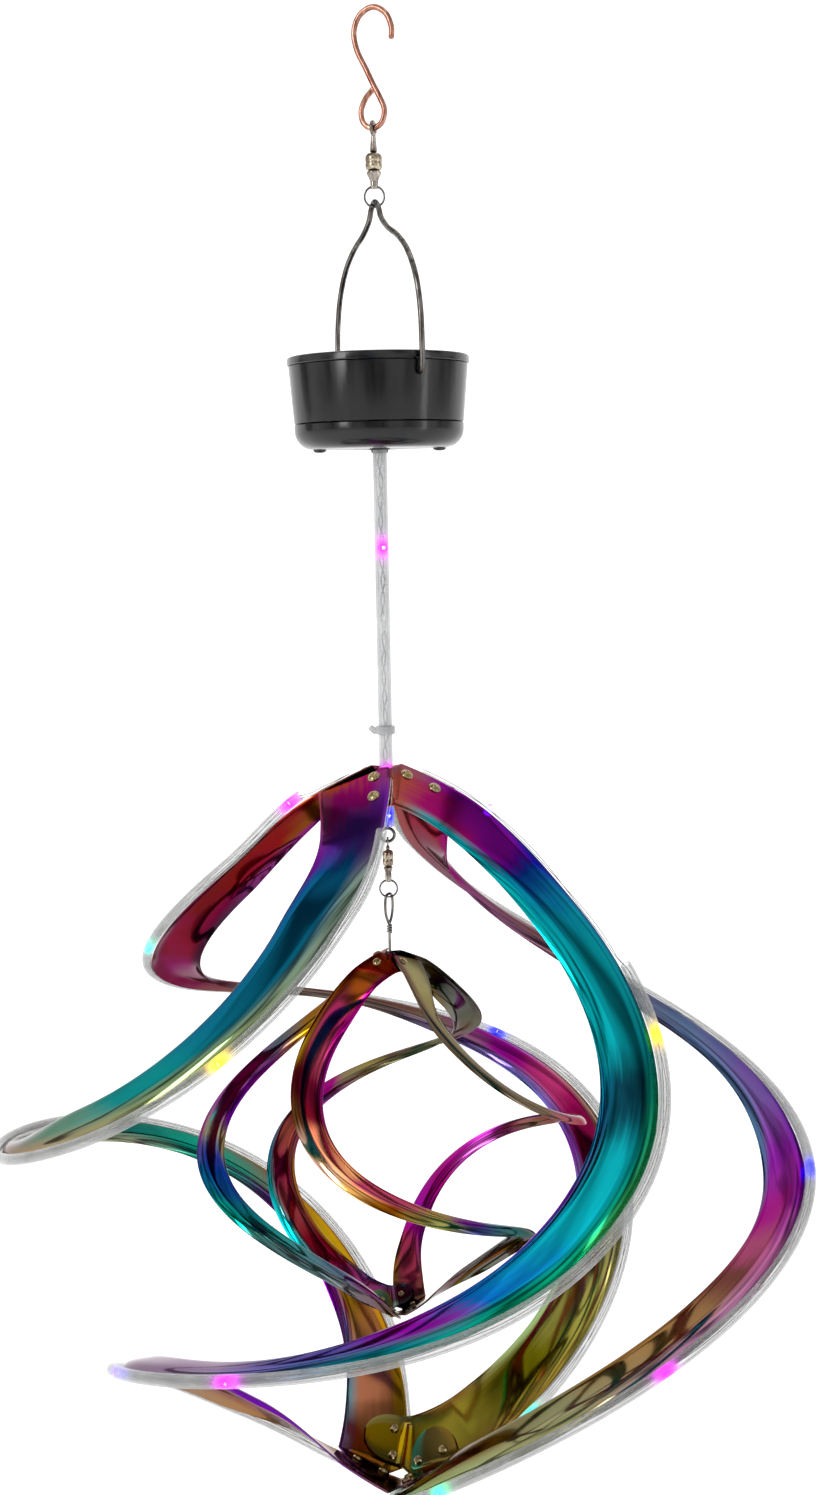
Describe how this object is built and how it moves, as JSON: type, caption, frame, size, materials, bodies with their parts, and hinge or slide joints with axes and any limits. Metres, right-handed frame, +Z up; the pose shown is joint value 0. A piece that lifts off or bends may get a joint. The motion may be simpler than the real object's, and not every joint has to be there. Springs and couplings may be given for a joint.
{
  "type": "kinetic wind sculpture",
  "caption": "Hanging wind spinner: a solar lamp cup on a hook and swivel carries twisted rainbow steel blades with light tubes, and a smaller set turns inside them.",
  "frame": {"origin": "on the underside of the hook's crook, where the sculpture hangs", "axes": "+Z up along the spin axis; -Y is the seen side, +X its right"},
  "size_m": [0.3618, 0.3616, 0.6373],
  "materials": {
    "hook_copper": "bright copper-coloured wire",
    "nickel": "polished nickel plate",
    "swivel_barrel": "polished nickel plate with a warm tint",
    "ring_steel": "polished spring steel",
    "bail_steel": "polished spring steel wire",
    "cup_black": "glossy moulded plastic",
    "solar_cells": "dark blue cells under clear resin",
    "board_green": "solder mask",
    "cell_wrap": "shrink wrap",
    "contact_steel": "nickel-plated spring steel",
    "switch_plastic": "fine moulded texture",
    "screw_steel": "zinc plated",
    "gland_rubber": "soft moulded rubber",
    "clear_tube": "clear plastic tube with light scuffs",
    "tie_clear": "clear plastic",
    "rainbow_steel": "polished steel with a rainbow interference coat",
    "light_tube": "clear plastic tube, slightly milky",
    "cap_black": "soft moulded plastic",
    "rivet_brass": "domed, polished",
    "wire_steel": "polished steel wire"
  },
  "bodies": {
    "hook": {"hanging_hook": "hook_copper"},
    "upper_swivel": {"top_swivel_eye": "nickel", "top_swivel_barrel": "swivel_barrel"},
    "upper_swivel_shank": {"top_swivel_shank": "nickel"},
    "split_ring": {"top_ring": "ring_steel"},
    "wire_bail": {"bail": "bail_steel"},
    "lamp_and_outer_spinner": {"solar_cup_wall": "cup_black", "solar_cup_base": "cup_black", "panel_bezel": "cup_black", "solar_panel": "solar_cells", "circuit_board": "board_green", "battery_cell": "cell_wrap", "battery_plate_contact": "contact_steel", "battery_spring_contact": "contact_steel", "switch_body": "switch_plastic", "base_screw_1": "screw_steel", "base_screw_2": "screw_steel", "tube_gland": "gland_rubber", "riser_tube": "clear_tube", "riser_tie": "tie_clear", "outer_blade_a": "rainbow_steel", "light_tube_a": "light_tube", "tube_cap_a": "cap_black", "upper_rivet_a1": "rivet_brass", "upper_rivet_a2": "rivet_brass", "lower_rivet_a1": "rivet_brass", "lower_rivet_a2": "rivet_brass", "outer_blade_b": "rainbow_steel", "light_tube_b": "light_tube", "tube_cap_b": "cap_black", "upper_rivet_b1": "rivet_brass", "upper_rivet_b2": "rivet_brass", "lower_rivet_b1": "rivet_brass", "lower_rivet_b2": "rivet_brass", "outer_blade_c": "rainbow_steel", "light_tube_c": "light_tube", "tube_cap_c": "cap_black", "upper_rivet_c1": "rivet_brass", "upper_rivet_c2": "rivet_brass", "lower_rivet_c1": "rivet_brass", "lower_rivet_c2": "rivet_brass", "outer_blade_d": "rainbow_steel", "light_tube_d": "light_tube", "tube_cap_d": "cap_black", "upper_rivet_d1": "rivet_brass", "upper_rivet_d2": "rivet_brass", "lower_rivet_d1": "rivet_brass", "lower_rivet_d2": "rivet_brass", "hanger_eye": "wire_steel"},
    "power_button": {"switch_button": "switch_plastic"},
    "lower_swivel": {"inner_swivel_eye": "nickel", "inner_swivel_barrel": "swivel_barrel"},
    "lower_swivel_shank": {"inner_swivel_shank": "nickel"},
    "lower_split_ring": {"inner_ring": "ring_steel"},
    "inner_spinner": {"inner_link": "wire_steel", "inner_blade_a": "rainbow_steel", "inner_blade_b": "rainbow_steel", "inner_blade_c": "rainbow_steel", "inner_blade_d": "rainbow_steel"}
  },
  "joints": [
    {"name": "upper_swivel_swing", "type": "hinge", "parent": "hook", "child": "upper_swivel", "pos_m": [0, 0, -0.04385], "axis": [0.9397, -0.342, 0], "range_deg": [-25, 25]},
    {"name": "upper_swivel_spin", "type": "hinge", "parent": "upper_swivel", "child": "upper_swivel_shank", "pos_m": [0, 0, -0.06], "axis": [0, 0, 1], "continuous": true},
    {"name": "split_ring_swing", "type": "hinge", "parent": "upper_swivel_shank", "child": "split_ring", "pos_m": [0, 0, -0.0659], "axis": [1, 0, 0], "range_deg": [-20, 20]},
    {"name": "bail_swing", "type": "hinge", "parent": "split_ring", "child": "wire_bail", "pos_m": [0, 0, -0.0718], "axis": [0.4384, -0.8988, 0], "range_deg": [-20, 20]},
    {"name": "cup_swing", "type": "hinge", "parent": "wire_bail", "child": "lamp_and_outer_spinner", "pos_m": [0, 0, -0.14], "axis": [0.4384, -0.8988, 0], "range_deg": [-15, 15]},
    {"name": "power_button_press", "type": "slide", "parent": "lamp_and_outer_spinner", "child": "power_button", "axis": [0, 0, 1], "range_m": [0, 0.0012], "stiffness_N_per_m": 400},
    {"name": "lower_swivel_swing", "type": "hinge", "parent": "lamp_and_outer_spinner", "child": "lower_swivel", "pos_m": [0, 0, -0.3333], "axis": [1, 0, 0], "range_deg": [-8, 8]},
    {"name": "lower_swivel_spin", "type": "hinge", "parent": "lower_swivel", "child": "lower_swivel_shank", "pos_m": [0, 0, -0.344], "axis": [0, 0, 1], "continuous": true},
    {"name": "lower_ring_swing", "type": "hinge", "parent": "lower_swivel_shank", "child": "lower_split_ring", "pos_m": [0, 0, -0.3502], "axis": [1, 0, 0], "range_deg": [-6, 6]},
    {"name": "inner_spinner_swing", "type": "hinge", "parent": "lower_split_ring", "child": "inner_spinner", "pos_m": [0, 0, -0.3577], "axis": [1, 0, 0], "range_deg": [-8, 8]}
  ]
}
